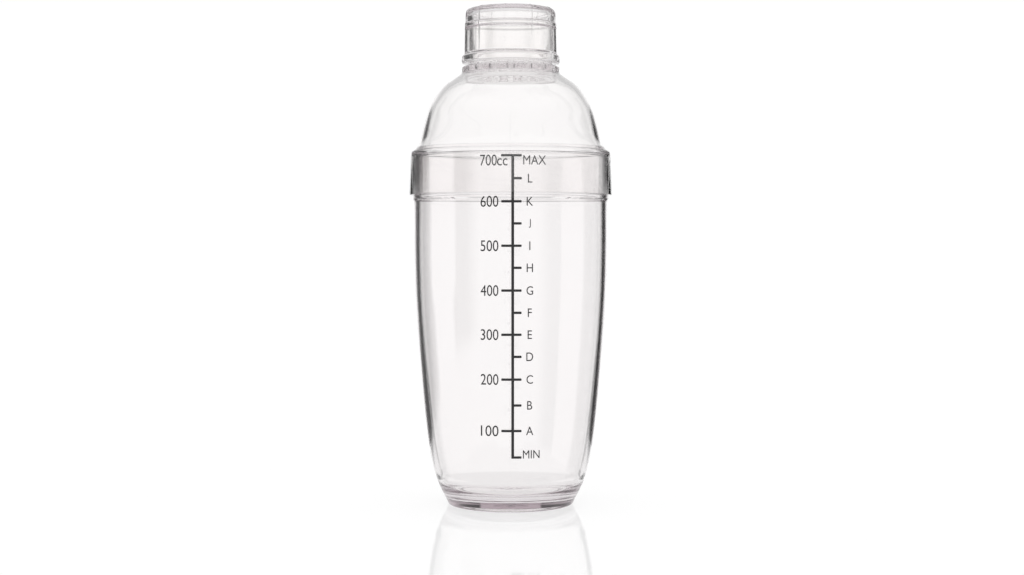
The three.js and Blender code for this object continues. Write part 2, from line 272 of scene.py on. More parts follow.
def lid_outline():
    """From the lower edge of the strainer plate's rim, round the whole wall, to its upper edge."""
    bore = RIM_RADIUS + PUSH_FIT
    bore_foot = CUP_RADIUS + PUSH_FIT
    shoulder_radius = bore + SKIRT_TOP_WALL
    dome_foot = shoulder_radius - SKIRT_CORNER
    underside = SHOULDER_Z - SHOULDER_THICKNESS
    dome = station_curve(DOME, dome_foot, LIP_RADIUS, SHOULDER_Z, LIP_Z)
    inside = wall_inside(dome)
    inside = inside[(inside[:, 0] > NECK_BORE + THROAT_CORNER) & (inside[:, 1] > SHOULDER_Z)]
    plate_foot = STRAINER_TOP_Z - STRAINER_THICKNESS
    skirt = [inside[0], (RIM_RADIUS - WALL, underside), (bore, underside), (bore_foot, SKIRT_FOOT_Z),
             (SKIRT_FOOT_RADIUS, SKIRT_FOOT_Z), (shoulder_radius, SHOULDER_Z - SKIRT_CORNER)]
    lip_top = (LIP_RADIUS - LIP_DRAFT, FLARE_Z + FLARE_HEIGHT / 8)
    lip = [dome[-2], dome[-1], (LIP_RADIUS, FLARE_Z), lip_top]
    rim_middle = NECK_RADIUS - NECK_WALL / 2
    rim_foot = NECK_RIM_Z - NECK_WALL / 2
    return joined(
        [(NECK_BORE, plate_foot)],
        inside[::-1],
        rounded(skirt),
        bend((shoulder_radius, SHOULDER_Z - SKIRT_CORNER), (shoulder_radius, SHOULDER_Z),
             (dome_foot, SHOULDER_Z)),
        dome[:-2],
        rounded(lip, LIP_ROUND),
        bend(lip_top, (NECK_RADIUS, FLARE_Z + FLARE_HEIGHT / 4), (NECK_RADIUS, NECK_FOOT_Z), steps=14),
        bend((NECK_RADIUS, rim_foot), (NECK_RADIUS, NECK_RIM_Z), (rim_middle, NECK_RIM_Z)),
        bend((rim_middle, NECK_RIM_Z), (NECK_BORE, NECK_RIM_Z), (NECK_BORE, rim_foot)),
        [(NECK_BORE, STRAINER_TOP_Z)],
    )


def cap_outline():
    """From the middle of the ceiling, down the bore, round the flange and up to the middle of the crown."""
    bore = NECK_RADIUS + PUSH_FIT
    flange_top = CAP_FOOT_Z + FLANGE_HEIGHT
    flange_round = FLANGE_HEIGHT / 3
    ceiling = CROWN_TOP_Z - CROWN_THICKNESS
    inner_corner = CROWN_CORNER - CROWN_THICKNESS / 2
    crown_radius = CAP_WALL_RADIUS - CAP_DRAFT - CROWN_STEP
    mouth = [(CROWN_BORE, ceiling - inner_corner), (CROWN_BORE, CROWN_FOOT_Z), (bore, CROWN_FOOT_Z),
             (bore, CROWN_FOOT_Z - BORE_LAND), (bore + BORE_RELIEF, CROWN_FOOT_Z - BORE_LAND - BORE_RELIEF),
             (bore + BORE_RELIEF, flange_top + BORE_RELIEF), (bore, flange_top),
             (bore, CAP_FOOT_Z + MOUTH_CHAMFER), (bore + MOUTH_CHAMFER, CAP_FOOT_Z),
             (FLANGE_RADIUS - flange_round, CAP_FOOT_Z)]
    wall = [(CAP_WALL_RADIUS + FLANGE_FILLET, flange_top), (CAP_WALL_RADIUS, flange_top),
            (CAP_WALL_RADIUS - CAP_DRAFT, CROWN_FOOT_Z), (crown_radius, CROWN_FOOT_Z + CROWN_STEP),
            (crown_radius, CROWN_TOP_Z - CROWN_CORNER)]
    crown = [(crown_radius - CROWN_CORNER, CROWN_TOP_Z),
             (CROWN_BORE / 2, CROWN_TOP_Z + CROWN_RISE * CROWN_CURVE), (0, CAP_TOP_Z)]
    return joined(
        [(0, ceiling)],
        bend((CROWN_BORE - inner_corner, ceiling), (CROWN_BORE, ceiling),
             (CROWN_BORE, ceiling - inner_corner)),
        rounded(mouth),
        bend((FLANGE_RADIUS - flange_round, CAP_FOOT_Z), (FLANGE_RADIUS, CAP_FOOT_Z),
             (FLANGE_RADIUS, CAP_FOOT_Z + flange_round)),
        bend((FLANGE_RADIUS, flange_top - flange_round), (FLANGE_RADIUS, flange_top),
             (CAP_WALL_RADIUS + FLANGE_FILLET, flange_top)),
        rounded(wall),
        bend((crown_radius, CROWN_TOP_Z - CROWN_CORNER), (crown_radius, CROWN_TOP_Z),
             (crown_radius - CROWN_CORNER, CROWN_TOP_Z), steps=12),
        smooth_curve(crown, steps=10),
    )


def hole_outline():
    """Wall of one strainer hole, down from the plate's upper face, with both edges rounded."""
    foot = STRAINER_TOP_Z - STRAINER_THICKNESS
    return joined(rounded([(HOLE_RADIUS + EDGE, STRAINER_TOP_Z), (HOLE_RADIUS, STRAINER_TOP_Z),
                           (HOLE_RADIUS, foot), (HOLE_RADIUS + EDGE, foot)]))


# ---------------------------------------------------------------- geometry node trees
class Tree:
    """A geometry node tree that is built up line by line."""

    def __init__(self, name, inputs):
        self.tree = bpy.data.node_groups.new(name, "GeometryNodeTree")
        face = self.tree.interface
        face.new_socket("Geometry", in_out="INPUT", socket_type="NodeSocketGeometry")
        for label, kind, value in inputs:
            socket = face.new_socket(label, in_out="INPUT", socket_type=kind)
            if value is not None:
                socket.default_value = value
        face.new_socket("Geometry", in_out="OUTPUT", socket_type="NodeSocketGeometry")
        self.given = self.tree.nodes.new("NodeGroupInput")
        self.result = self.tree.nodes.new("NodeGroupOutput")

    def plug(self, value, socket):
        if isinstance(value, bpy.types.NodeSocket):
            self.tree.links.new(value, socket)
        elif value is not None:
            socket.default_value = value

    def node(self, kind, *values, **settings):
        """A node with its inputs given in order, and its settings by name."""
        node = self.tree.nodes.new(kind)
        for name, value in settings.items():
            setattr(node, name, value)
        for value, socket in zip(values, [s for s in node.inputs if s.enabled]):
            self.plug(value, socket)
        return [s for s in node.outputs if s.enabled][0]

    def math(self, operation, *values):
        return self.node("ShaderNodeMath", *values, operation=operation)

    def finish(self, geometry):
        self.tree.links.new(geometry, self.result.inputs[0])
        return self.tree


def smoothstep(tree, value, low, high):
    """0 below low, 1 above high, with a soft change between."""
    node = tree.tree.nodes.new("ShaderNodeMapRange")
    node.interpolation_type = "SMOOTHSTEP"
    tree.plug(value, node.inputs["Value"])
    tree.plug(low, node.inputs["From Min"])
    tree.plug(high, node.inputs["From Max"])
    return node.outputs["Result"]


def turned_wall_tree():
    """Revolves an outline, given as a line of points in X and Z, and raises grip ribs on its outside."""
    tree = Tree("turned_wall", [
        ("Sections", "NodeSocketInt", SMOOTH_SECTIONS), ("Rib Count", "NodeSocketFloat", 1.0),
        ("Rib Crowding", "NodeSocketFloat", 0.0), ("Rib Angle", "NodeSocketFloat", 0.0),
        ("Rib Width", "NodeSocketFloat", RIB_WIDTH * MM), ("Rib Proud", "NodeSocketFloat", 0.0),
        ("Rib Foot", "NodeSocketFloat", 0.0), ("Rib Top", "NodeSocketFloat", 0.0),
        ("Rib Inner Radius", "NodeSocketFloat", 0.0), ("Rib Wall Radius", "NodeSocketFloat", 0.0),
        ("Material", "NodeSocketMaterial", None)])
    given = {socket.name: socket for socket in tree.given.outputs}
    size = tree.tree.nodes.new("GeometryNodeAttributeDomainSize")
    tree.plug(given["Geometry"], size.inputs[0])
    rows = size.outputs["Point Count"]
    columns = tree.math("ADD", given["Sections"], 1.0)
    grid = tree.tree.nodes.new("GeometryNodeMeshGrid")
    tree.plug(rows, grid.inputs["Vertices X"])
    tree.plug(columns, grid.inputs["Vertices Y"])
    index = tree.node("GeometryNodeInputIndex")
    row = tree.math("FLOOR", tree.math("DIVIDE", tree.math("ADD", index, 0.5), columns))
    column = tree.math("SUBTRACT", index, tree.math("MULTIPLY", row, columns))
    place = tree.tree.nodes.new("GeometryNodeSampleIndex")
    place.data_type = "FLOAT_VECTOR"
    tree.plug(given["Geometry"], place.inputs["Geometry"])
    tree.plug(tree.node("GeometryNodeInputPosition"), place.inputs["Value"])
    tree.plug(row, place.inputs["Index"])
    outline = tree.tree.nodes.new("ShaderNodeSeparateXYZ")
    tree.plug(place.outputs["Value"], outline.inputs[0])
    even = tree.math("DIVIDE", tree.math("MULTIPLY", column, 2 * math.pi), given["Sections"])
    phase = tree.math("MULTIPLY", tree.math("SUBTRACT", even, given["Rib Angle"]), given["Rib Count"])
    crowding = tree.math("DIVIDE", tree.math("MULTIPLY", tree.math("SINE", phase), given["Rib Crowding"]),
                         given["Rib Count"])
    angle = tree.math("SUBTRACT", even, crowding)
    radius = outline.outputs["X"]
    ahead = tree.math("MULTIPLY", radius, tree.math("COSINE", angle))
    spot = tree.node("ShaderNodeCombineXYZ",
                     tree.math("MULTIPLY", radius, tree.math("SINE", angle)),
                     tree.math("MULTIPLY", ahead, -1.0),
                     outline.outputs["Z"])
    placed = tree.tree.nodes.new("GeometryNodeSetPosition")
    tree.plug(grid.outputs["Mesh"], placed.inputs["Geometry"])
    tree.plug(spot, placed.inputs["Position"])
    closed = tree.tree.nodes.new("GeometryNodeMergeByDistance")
    tree.plug(placed.outputs["Geometry"], closed.inputs["Geometry"])
    closed.inputs["Distance"].default_value = WELD
    outward = tree.node("GeometryNodeFlipFaces", closed.outputs["Geometry"])
    ribbed = raise_ribs(tree, given, outward)
    return tree.finish(finish_surface(tree, ribbed, given["Material"]))


def raise_ribs(tree, given, geometry):
    """Pushes the outside of the wall out along its normal in narrow bands round the axis."""
    place = tree.tree.nodes.new("ShaderNodeSeparateXYZ")
    tree.plug(tree.node("GeometryNodeInputPosition"), place.inputs[0])
    x, y, z = place.outputs
    radius = tree.math("SQRT", tree.math("ADD", tree.math("MULTIPLY", x, x), tree.math("MULTIPLY", y, y)))
    angle = tree.math("ARCTAN2", x, tree.math("MULTIPLY", y, -1.0))
    pitch = tree.math("DIVIDE", 2 * math.pi, given["Rib Count"])
    turn = tree.math("DIVIDE", tree.math("SUBTRACT", angle, given["Rib Angle"]), pitch)
    off = tree.math("ABSOLUTE", tree.math("SUBTRACT", turn, tree.math("ROUND", turn)))
    away = tree.math("MULTIPLY", tree.math("MULTIPLY", off, pitch), radius)
    half = tree.math("MULTIPLY", given["Rib Width"], 0.5)
    across = tree.math("SUBTRACT", 1.0, smoothstep(tree, away, tree.math("MULTIPLY", half, RIB_FLAT), half))
    outside = tree.math("MAXIMUM",
                        tree.math("GREATER_THAN", radius, given["Rib Wall Radius"]),
                        tree.math("GREATER_THAN", z, given["Rib Top"]))
    above = smoothstep(tree, z, given["Rib Foot"], tree.math("ADD", given["Rib Foot"], RIB_WIDTH * MM))
    inwards = smoothstep(tree, radius, tree.math("SUBTRACT", given["Rib Inner Radius"], RIB_WIDTH * MM),
                         given["Rib Inner Radius"])
    height = tree.math("MULTIPLY", tree.math("MULTIPLY", across, outside),
                       tree.math("MULTIPLY", above, inwards))
    push = tree.math("MULTIPLY", height, given["Rib Proud"])
    offset = tree.node("ShaderNodeVectorMath", tree.node("GeometryNodeInputNormal"), operation="SCALE")
    tree.plug(push, offset.node.inputs["Scale"])
    moved = tree.tree.nodes.new("GeometryNodeSetPosition")
    tree.plug(geometry, moved.inputs["Geometry"])
    tree.plug(offset, moved.inputs["Offset"])
    return moved.outputs["Geometry"]


def finish_surface(tree, geometry, material, sharp_over=35.0):
    """Smooth shading with the true edges kept sharp, and the material; the mesh is realized."""
    smooth = tree.tree.nodes.new("GeometryNodeSetShadeSmooth")
    smooth.domain = "FACE"
    tree.plug(geometry, smooth.inputs["Geometry"])
    edged = tree.tree.nodes.new("GeometryNodeSetShadeSmooth")
    edged.domain = "EDGE"
    tree.plug(smooth.outputs["Geometry"], edged.inputs["Geometry"])
    corner = tree.tree.nodes.new("GeometryNodeInputMeshEdgeAngle")
    tree.plug(tree.math("GREATER_THAN", corner.outputs["Unsigned Angle"], math.radians(sharp_over)),
              edged.inputs["Selection"])
    edged.inputs["Shade Smooth"].default_value = False
    whole = tree.node("GeometryNodeRealizeInstances", edged.outputs["Geometry"])
    return tree.node("GeometryNodeSetMaterial", whole, None, material)


def outline_object(name, outline):
    """A line of points in X and Z, in metres, for the turned_wall tree."""
    mesh = bpy.data.meshes.new(name)
    points = [(radius * MM, 0.0, height * MM) for radius, height in outline]
    mesh.from_pydata(points, [(i, i + 1) for i in range(len(points) - 1)], [])
    made = bpy.data.objects.new(name, mesh)
    bpy.context.scene.collection.objects.link(made)
    return made


def baked(made, tree, name, **values):
    """Runs a tree on an object with the values given by input name, and keeps the plain mesh."""
    modifier = made.modifiers.new(tree.name, "NODES")
    modifier.node_group = tree
    identifiers = {item.name: item.identifier for item in tree.interface.items_tree if item.in_out == "INPUT"}
    for label, value in values.items():
        modifier[identifiers[label.replace("_", " ")]] = value
    evaluated = made.evaluated_get(bpy.context.evaluated_depsgraph_get())
    mesh = bpy.data.meshes.new_from_object(evaluated)
    made.modifiers.clear()
    made.data = mesh
    made.name = name
    mesh.name = name
    return made


def strainer_plate_tree():
    """Closes the neck with a flat plate that has rings of round holes, and joins it to the turned wall."""
    tree = Tree("strainer_plate", [
        ("Bore Radius", "NodeSocketFloat", NECK_BORE * MM),
        ("Hole Radius", "NodeSocketFloat", HOLE_RADIUS * MM), ("Ring Step", "NodeSocketFloat", 0.0),
        ("Upper Height", "NodeSocketFloat", 0.0), ("Lower Height", "NodeSocketFloat", 0.0),
        ("Hole Wall", "NodeSocketObject", None), ("Material", "NodeSocketMaterial", None)])
    given = {socket.name: socket for socket in tree.given.outputs}
    centre = tree.tree.nodes.new("GeometryNodeMeshLine")
    centre.inputs["Count"].default_value = 1
    spots = tree.tree.nodes.new("GeometryNodeJoinGeometry")
    tree.plug(centre.outputs["Mesh"], spots.inputs[0])
    for ring in range(1, STRAINER_RINGS + 1):
        circle = tree.tree.nodes.new("GeometryNodeMeshCircle")
        circle.inputs["Vertices"].default_value = 6 * ring
        tree.plug(tree.math("MULTIPLY", given["Ring Step"], float(ring)), circle.inputs["Radius"])
        tree.plug(circle.outputs["Mesh"], spots.inputs[0])
    rim = curve_circle(tree, SMOOTH_SECTIONS, given["Bore Radius"])
    hole = curve_circle(tree, HOLE_SECTIONS, tree.math("ADD", given["Hole Radius"], EDGE * MM))
    edges = tree.tree.nodes.new("GeometryNodeJoinGeometry")
    tree.plug(on_points(tree, spots.outputs[0], hole), edges.inputs[0])
    tree.plug(rim, edges.inputs[0])
    face = tree.node("GeometryNodeFillCurve", tree.node("GeometryNodeRealizeInstances", edges.outputs[0]))
    parts = tree.tree.nodes.new("GeometryNodeJoinGeometry")
    tree.plug(given["Geometry"], parts.inputs[0])
    tree.plug(lifted(tree, face, given["Upper Height"]), parts.inputs[0])
    tree.plug(tree.node("GeometryNodeFlipFaces", lifted(tree, face, given["Lower Height"])), parts.inputs[0])
    wall = tree.tree.nodes.new("GeometryNodeObjectInfo")
    tree.plug(given["Hole Wall"], wall.inputs["Object"])
    tree.plug(on_points(tree, spots.outputs[0], wall.outputs["Geometry"]), parts.inputs[0])
    closed = tree.tree.nodes.new("GeometryNodeMergeByDistance")
    tree.plug(tree.node("GeometryNodeRealizeInstances", parts.outputs[0]), closed.inputs["Geometry"])
    closed.inputs["Distance"].default_value = PLATE_WELD
    return tree.finish(finish_surface(tree, closed.outputs["Geometry"], given["Material"]))


def curve_circle(tree, points, radius):
    circle = tree.tree.nodes.new("GeometryNodeCurvePrimitiveCircle")
    circle.inputs["Resolution"].default_value = points
    tree.plug(radius, circle.inputs["Radius"])
    return circle.outputs["Curve"]


def on_points(tree, points, instance):
    node = tree.tree.nodes.new("GeometryNodeInstanceOnPoints")
    tree.plug(points, node.inputs["Points"])
    tree.plug(instance, node.inputs["Instance"])
    return node.outputs["Instances"]


def lifted(tree, geometry, height):
    """The flat geometry moved up to a height."""
    return tree.node("GeometryNodeTransform", geometry, tree.node("ShaderNodeCombineXYZ", 0.0, 0.0, height))


# ---------------------------------------------------------------- the printed capacity scale
# Height of each tick, the figures left of it and the letter right of it.
TICKS = [(154.8, None, None), (145.1, None, "L"), (135.3, "600", "K"), (125.9, None, "J"),
         (116.4, "500", "I"), (107.0, None, "H"), (97.3, "400", "G"), (87.8, None, "F"),
         (78.4, "300", "E"), (68.9, None, "D"), (59.1, "200", "C"), (47.9, None, "B"),
         (36.8, "100", "A"), (25.2, None, None)]
LINE_X = 0.9  # middle of the upright line, to the right of the cup's front
LINE_WIDTH = 1.2
TICK_WIDTH = 1.05
TICK_LEFT = 4.9
TICK_RIGHT = 3.8
LINE_END = 0.4 * TICK_WIDTH  # how far the upright line runs past the middle of the end ticks
BAR_CORNER = 0.3
FIGURES_X, FIGURES_WIDTH, FIGURES_HEIGHT = -9.0, 7.6, 4.7
LETTERS_X, LETTERS_HEIGHT, LETTERS_NARROW = 8.2, 3.7, 0.86
TYPE_SIZE = 10.0  # size at which the lettering is drawn before it is fitted
TYPE_BOLD = 0.01
# Words: text, middle, height of the middle, width, height.
WORDS = [("700", -9.3, 152.8, 7.0, 4.7), ("cc", -3.5, 152.0, 4.4, 3.1), ("MAX", 10.1, 152.9, 9.6, 3.9),
         ("MIN", 8.9, 26.5, 7.2, 3.6)]
INK_GAP = 0.015
INK_THICKNESS = 0.04
STRIP_WIDTH = 0.8
STRIP_TALLNESS = 7  # height of a strip, in widths


def flat_text(text, middle_x, middle_z, height, width=None, narrow=1.0):
    """Flat lettering in the X and Z plane, facing the front, as vertices and faces in millimetres."""
    curve = bpy.data.curves.new("lettering", "FONT")
    curve.body = text
    curve.size = TYPE_SIZE
    curve.resolution_u = 6
    curve.offset = TYPE_BOLD
    made = bpy.data.objects.new("lettering", curve)
    bpy.context.scene.collection.objects.link(made)
    mesh = bpy.data.meshes.new_from_object(made.evaluated_get(bpy.context.evaluated_depsgraph_get()))
    points = np.array([v.co[:] for v in mesh.vertices])
    faces = [tuple(face.vertices) for face in mesh.polygons]
    bpy.data.objects.remove(made)
    bpy.data.meshes.remove(mesh)
    low, high = points.min(axis=0), points.max(axis=0)
    tall = height / (high[1] - low[1])
    wide = width / (high[0] - low[0]) if width else tall * narrow
    middle = (low + high) / 2
    placed = [(middle_x + (x - middle[0]) * wide, 0.0, middle_z + (y - middle[1]) * tall)
              for x, y, _ in points]
    return placed, faces


def scale_lettering():
    """All figures, letters and words of the scale as one flat mesh object."""
    blocks = [flat_text(text, x, z, height, width) for text, x, z, width, height in WORDS]
    for z, figures, letter in TICKS:
        if figures:
            blocks.append(flat_text(figures, FIGURES_X, z, FIGURES_HEIGHT, FIGURES_WIDTH))
        if letter:
            blocks.append(flat_text(letter, LETTERS_X, z, LETTERS_HEIGHT, narrow=LETTERS_NARROW))
    points, faces = [], []
    for block_points, block_faces in blocks:
        faces += [tuple(i + len(points) for i in face) for face in block_faces]
        points += block_points
    mesh = bpy.data.meshes.new("lettering")
    mesh.from_pydata([tuple(c * MM for c in point) for point in points], [], faces)
    made = bpy.data.objects.new("lettering", mesh)
    bpy.context.scene.collection.objects.link(made)
    return made


def tick_points():
    """One point for each tick, marked as long where it has figures; the highest one is long too."""
    mesh = bpy.data.meshes.new("ticks")
    mesh.from_pydata([(LINE_X * MM, 0.0, z * MM) for z, _, _ in TICKS], [], [])
    long_ticks = mesh.attributes.new("long", "FLOAT", "POINT")
    for item, (_, figures, _) in zip(long_ticks.data, TICKS):
        item.value = 1.0 if figures else 0.0
    long_ticks.data[0].value = 1.0
    made = bpy.data.objects.new("ticks", mesh)
    bpy.context.scene.collection.objects.link(made)
    return made


def flat_bar(tree, left, right, foot, head):
    """A flat bar in the X and Z plane, facing the front, with soft corners and these four reaches."""
    shape = tree.tree.nodes.new("GeometryNodeCurvePrimitiveQuadrilateral")
    tree.plug(tree.math("ADD", left, right), shape.inputs["Width"])
    tree.plug(tree.math("ADD", head, foot), shape.inputs["Height"])
    soft = tree.tree.nodes.new("GeometryNodeFilletCurve")
    soft.mode = "POLY"
    tree.plug(shape.outputs["Curve"], soft.inputs["Curve"])
    soft.inputs["Radius"].default_value = BAR_CORNER * MM
    soft.inputs["Count"].default_value = 4
    filled = tree.node("GeometryNodeFillCurve", soft.outputs["Curve"])
    turned = tree.tree.nodes.new("GeometryNodeTransform")
    tree.plug(filled, turned.inputs["Geometry"])
    turned.inputs["Rotation"].default_value = (math.pi / 2, 0.0, 0.0)
    moved = tree.node("ShaderNodeCombineXYZ",
                      tree.math("MULTIPLY", tree.math("SUBTRACT", right, left), 0.5),
                      0.0,
                      tree.math("MULTIPLY", tree.math("SUBTRACT", head, foot), 0.5))
    tree.plug(moved, turned.inputs["Translation"])
    return turned.outputs["Geometry"]


def scale_lines_tree():
    """A bar on each tick point, long or short, and the upright line from the lowest tick to the highest."""
    tree = Tree("scale_lines", [
        ("Line Width", "NodeSocketFloat", LINE_WIDTH * MM),
        ("Tick Width", "NodeSocketFloat", TICK_WIDTH * MM),
        ("Left Reach", "NodeSocketFloat", TICK_LEFT * MM),
        ("Right Reach", "NodeSocketFloat", TICK_RIGHT * MM),
        ("Middle", "NodeSocketFloat", LINE_X * MM), ("Foot", "NodeSocketFloat", 0.0),
        ("Head", "NodeSocketFloat", 0.0), ("Material", "NodeSocketMaterial", None)])
    given = {socket.name: socket for socket in tree.given.outputs}
    half_line = tree.math("MULTIPLY", given["Line Width"], 0.5)
    half_tick = tree.math("MULTIPLY", given["Tick Width"], 0.5)
    long_bar = flat_bar(tree, given["Left Reach"], given["Right Reach"], half_tick, half_tick)
    short_bar = flat_bar(tree, half_line, given["Right Reach"], half_tick, half_tick)
    named = tree.tree.nodes.new("GeometryNodeInputNamedAttribute")
    named.inputs["Name"].default_value = "long"
    is_long = tree.math("GREATER_THAN", named.outputs["Attribute"], 0.5)
    parts = tree.tree.nodes.new("GeometryNodeJoinGeometry")
    for bar, chosen in ((long_bar, is_long), (short_bar, tree.math("SUBTRACT", 1.0, is_long))):
        spread = on_points(tree, given["Geometry"], bar)
        tree.plug(chosen, spread.node.inputs["Selection"])
        tree.plug(spread, parts.inputs[0])
    upright = flat_bar(tree, half_line, half_line, tree.math("MULTIPLY", given["Foot"], -1.0), given["Head"])
    aside = tree.node("GeometryNodeTransform", upright,
                      tree.node("ShaderNodeCombineXYZ", given["Middle"], 0.0, 0.0))
    tree.plug(aside, parts.inputs[0])
    whole = tree.node("GeometryNodeRealizeInstances", parts.outputs[0])
    return tree.finish(tree.node("GeometryNodeSetMaterial", whole, None, given["Material"]))


def print_tree():
    """Lays flat artwork against a wall and gives the ink its thickness as a closed skin."""
    tree = Tree("print_on_wall", [
        ("Wall", "NodeSocketObject", None), ("Ink Gap", "NodeSocketFloat", INK_GAP * MM),
        ("Ink Thickness", "NodeSocketFloat", INK_THICKNESS * MM), ("Stand Off", "NodeSocketFloat", 0.2),
        ("Material", "NodeSocketMaterial", None)])
    given = {socket.name: socket for socket in tree.given.outputs}
    wall = tree.tree.nodes.new("GeometryNodeObjectInfo")
    tree.plug(given["Wall"], wall.inputs["Object"])
    back = tree.node("ShaderNodeCombineXYZ", 0.0, tree.math("MULTIPLY", given["Stand Off"], -1.0), 0.0)
    start = tree.node("ShaderNodeVectorMath", tree.node("GeometryNodeInputPosition"), back, operation="ADD")
    found = tree.tree.nodes.new("GeometryNodeRaycast")
    tree.plug(wall.outputs["Geometry"], found.inputs["Target Geometry"])
    tree.plug(start, found.inputs["Source Position"])
    found.inputs["Ray Direction"].default_value = (0.0, 1.0, 0.0)
    found.inputs["Ray Length"].default_value = 1.0
    spot = found.outputs["Hit Position"]
    along = found.outputs["Hit Normal"]
    skins = tree.tree.nodes.new("GeometryNodeJoinGeometry")
    laid = tree.tree.nodes.new("GeometryNodeSetPosition")
    tree.plug(given["Geometry"], laid.inputs["Geometry"])
    gap = tree.node("ShaderNodeVectorMath", along, operation="SCALE")
    tree.plug(given["Ink Gap"], gap.node.inputs["Scale"])
    tree.plug(tree.node("ShaderNodeVectorMath", spot, gap, operation="ADD"), laid.inputs["Position"])
    flat = laid.outputs["Geometry"]
    raised = tree.tree.nodes.new("GeometryNodeExtrudeMesh")
    raised.mode = "FACES"
    tree.plug(flat, raised.inputs["Mesh"])
    tree.plug(given["Ink Thickness"], raised.inputs["Offset Scale"])
    raised.inputs["Individual"].default_value = False
    tree.plug(raised.outputs["Mesh"], skins.inputs[0])
    tree.plug(tree.node("GeometryNodeFlipFaces", flat), skins.inputs[0])
    closed = tree.tree.nodes.new("GeometryNodeMergeByDistance")
    tree.plug(skins.outputs[0], closed.inputs["Geometry"])
    closed.inputs["Distance"].default_value = WELD
    whole = tree.node("GeometryNodeRealizeInstances", closed.outputs["Geometry"])
    return tree.finish(tree.node("GeometryNodeSetMaterial", whole, None, given["Material"]))


def cut_in_strips(made):
    """Cuts the long faces of flat artwork into narrow strips, so that they can follow a curved wall."""
    width = STRIP_WIDTH * MM
    mesh = bmesh.new()
    mesh.from_mesh(made.data)
    bmesh.ops.remove_doubles(mesh, verts=mesh.verts, dist=1e-7)
    for axis, spacing in ((0, width), (2, STRIP_TALLNESS * width)):
        places = [v.co[axis] for v in mesh.verts]
        for cut in np.arange(min(places) + spacing, max(places), spacing):
            long_faces = [face for face in mesh.faces if face_length(face, axis) > spacing]
            plane = [0.0, 0.0, 0.0]
            plane[axis] = 1.0
            edges = {edge for face in long_faces for edge in face.edges}
            verts = {vert for face in long_faces for vert in face.verts}
            bmesh.ops.bisect_plane(mesh, geom=[*verts, *edges, *long_faces], dist=1e-8,
                                   plane_co=[c * cut for c in plane], plane_no=plane)
    bmesh.ops.triangulate(mesh, faces=[face for face in mesh.faces if len(face.verts) > 4])
    mesh.to_mesh(made.data)
    mesh.free()


def face_length(face, axis):
    along = [vert.co[axis] for vert in face.verts]
    return max(along) - min(along)


def join(first, *others):
    """One object from several, their meshes joined as they stand."""
    mesh = bmesh.new()
    for made in (first, *others):
        mesh.from_mesh(made.data)
    mesh.to_mesh(first.data)
    mesh.free()
    for made in others:
        bpy.data.objects.remove(made)
    return first


# ---------------------------------------------------------------- finishes
PLASTIC_IOR = 1.58
CLEAR_TINT = (1.0, 0.993, 0.988)
DEPTH_COLOUR = (0.27, 0.114, 0.19, 1.0)
CUP_DEPTH_DENSITY, LID_DEPTH_DENSITY, CAP_DEPTH_DENSITY = 22.0, 9.0, 9.0  # for each metre of plastic
FLOW_RIPPLE = 0.02  # height of the moulding ripple
SMEAR_ROUGHNESS = 0.05
INK_BLACK = (0.004, 0.004, 0.005, 1.0)
INK_WORN = (0.022, 0.021, 0.023, 1.0)
INK_GRAIN = 0.01  # height of the print's grain


def shader(name):
    """A new material, with its tree, its Principled shader and its output."""
    material = bpy.data.materials.new(name)
    material.use_nodes = True
    nodes = material.node_tree.nodes
    return material, nodes, material.node_tree.links, nodes["Principled BSDF"], nodes["Material Output"]


def noise(nodes, links, scale, detail, roughness=0.5, stretch=(1.0, 1.0, 1.0)):
    """Noise fixed to the piece, stretched by a Mapping node."""
    place = nodes.new("ShaderNodeTexCoord")
    mapping = nodes.new("ShaderNodeMapping")
    mapping.inputs["Scale"].default_value = stretch
    links.new(place.outputs["Object"], mapping.inputs["Vector"])
    texture = nodes.new("ShaderNodeTexNoise")
    texture.inputs["Scale"].default_value = scale
    texture.inputs["Detail"].default_value = detail
    texture.inputs["Roughness"].default_value = roughness
    links.new(mapping.outputs["Vector"], texture.inputs["Vector"])
    return texture.outputs["Fac"]


def spread(nodes, links, value, low, high, to_low, to_high):
    """The value from low to high turned into to_low to to_high."""
    node = nodes.new("ShaderNodeMapRange")
    links.new(value, node.inputs["Value"])
    for label, number in zip(("From Min", "From Max", "To Min", "To Max"), (low, high, to_low, to_high)):
        node.inputs[label].default_value = number
    return node.outputs["Result"]


def clear_plastic(name, depth_density):
    """Moulded clear plastic: almost colourless, with flow ripple, faint handling smears and a mauve depth."""
    material, nodes, links, surface, output = shader(name)
    surface.inputs["Transmission Weight"].default_value = 1.0
    surface.inputs["IOR"].default_value = PLASTIC_IOR
    cloud = noise(nodes, links, scale=30.0, detail=2.0)
    colour = nodes.new("ShaderNodeMix")
    colour.data_type = "RGBA"
    links.new(cloud, colour.inputs["Factor"])
    colour.inputs["A"].default_value = (*CLEAR_TINT, 1.0)
    colour.inputs["B"].default_value = (*(0.5 + 0.5 * part for part in CLEAR_TINT), 1.0)
    links.new(colour.outputs["Result"], surface.inputs["Base Color"])
    smears = noise(nodes, links, scale=90.0, detail=5.0, roughness=0.65)
    rough = spread(nodes, links, smears, low=0.42, high=0.72, to_low=0.0, to_high=SMEAR_ROUGHNESS)
    links.new(rough, surface.inputs["Roughness"])
    flow = noise(nodes, links, scale=1.0, detail=3.0, stretch=(70.0, 70.0, 9.0))
    bump = nodes.new("ShaderNodeBump")
    bump.inputs["Strength"].default_value = 1.0
    bump.inputs["Distance"].default_value = FLOW_RIPPLE * MM
    links.new(flow, bump.inputs["Height"])
    links.new(bump.outputs["Normal"], surface.inputs["Normal"])
    depth = nodes.new("ShaderNodeVolumeAbsorption")
    depth.inputs["Color"].default_value = DEPTH_COLOUR
    depth.inputs["Density"].default_value = depth_density
    links.new(depth.outputs["Volume"], output.inputs["Volume"])
    return material


